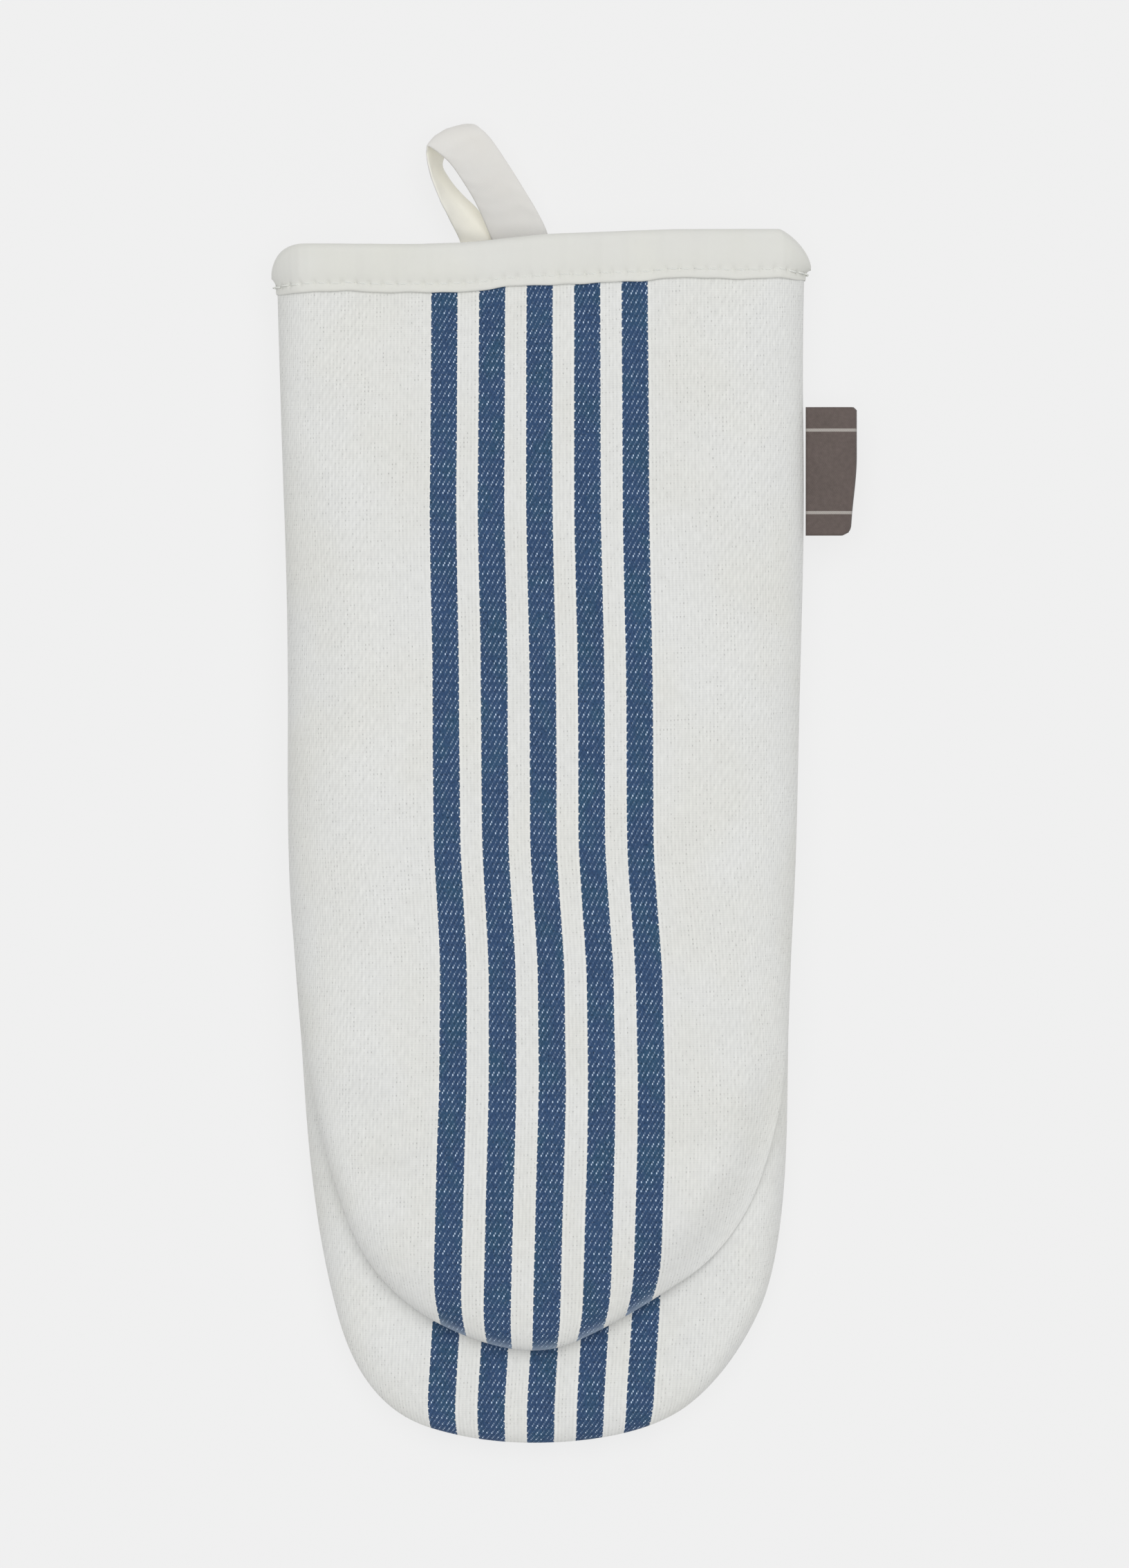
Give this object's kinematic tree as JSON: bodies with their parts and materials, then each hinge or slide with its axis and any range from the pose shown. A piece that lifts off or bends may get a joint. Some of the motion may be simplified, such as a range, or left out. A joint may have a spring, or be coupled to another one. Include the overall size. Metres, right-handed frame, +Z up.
{
  "type": "oven mitt",
  "caption": "Quilted oven mitt with a long finger pocket, a shorter opposed thumb pocket, a bound cuff with a hanging loop and a small side label.",
  "frame": {"origin": "centre of the footprint's bounding box, on the face that the mitt rests on", "axes": "+X towards the side with the label, +Y towards the cuff and its loop, +Z up through the thumb pocket"},
  "size_m": [0.1633, 0.3684, 0.0331],
  "materials": {
    "striped_twill": "white cotton twill with five lengthwise blue stripes",
    "batting": "needled cotton batting",
    "lining_cotton": "plain cotton lining",
    "binding_cotton": "plain-weave cotton bias binding",
    "loop_tape": "woven cotton tape",
    "sewing_thread": "spun thread",
    "label_weave": "fine brown woven label tape"
  },
  "bodies": {
    "hand": {"back_shell": "striped_twill", "back_padding": "batting", "back_lining": "lining_cotton", "front_wrist_shell": "striped_twill", "front_wrist_padding": "batting", "front_wrist_lining": "lining_cotton", "front_crease_shell": "striped_twill", "front_crease_padding": "batting", "front_crease_lining": "lining_cotton", "palm_finger_shell": "striped_twill", "palm_finger_padding": "batting", "palm_finger_lining": "lining_cotton", "finger_seam_thread": "sewing_thread", "side_seam_thread": "sewing_thread", "cuff_binding": "binding_cotton", "cuff_topstitch": "sewing_thread", "hanging_loop_ends": "loop_tape", "loop_bar_tack": "sewing_thread"},
    "thumb": {"front_thumb_shell": "striped_twill", "front_thumb_padding": "batting", "front_thumb_lining": "lining_cotton", "palm_thumb_shell": "striped_twill", "palm_thumb_padding": "batting", "palm_thumb_lining": "lining_cotton", "thumb_seam_thread": "sewing_thread"},
    "loop": {"hanging_loop": "loop_tape"},
    "label": {"side_label": "label_weave"}
  },
  "joints": [
    {"name": "thumb_open", "type": "hinge", "parent": "hand", "child": "thumb", "pos_m": [0, -0.0434, 0.024], "axis": [-1, 0, 0], "range_deg": [0, 55], "deforming": ["front_crease_shell", "front_crease_padding", "front_crease_lining"]},
    {"name": "loop_swing", "type": "hinge", "parent": "hand", "child": "loop", "pos_m": [-0.018, 0.15315, 0.0082], "axis": [1, 0, 0], "range_deg": [-50, 60]},
    {"name": "label_flap", "type": "hinge", "parent": "hand", "child": "label", "pos_m": [0.0675, 0.087, 0.015], "axis": [0, -1, 0], "range_deg": [-75, 75]}
  ]
}
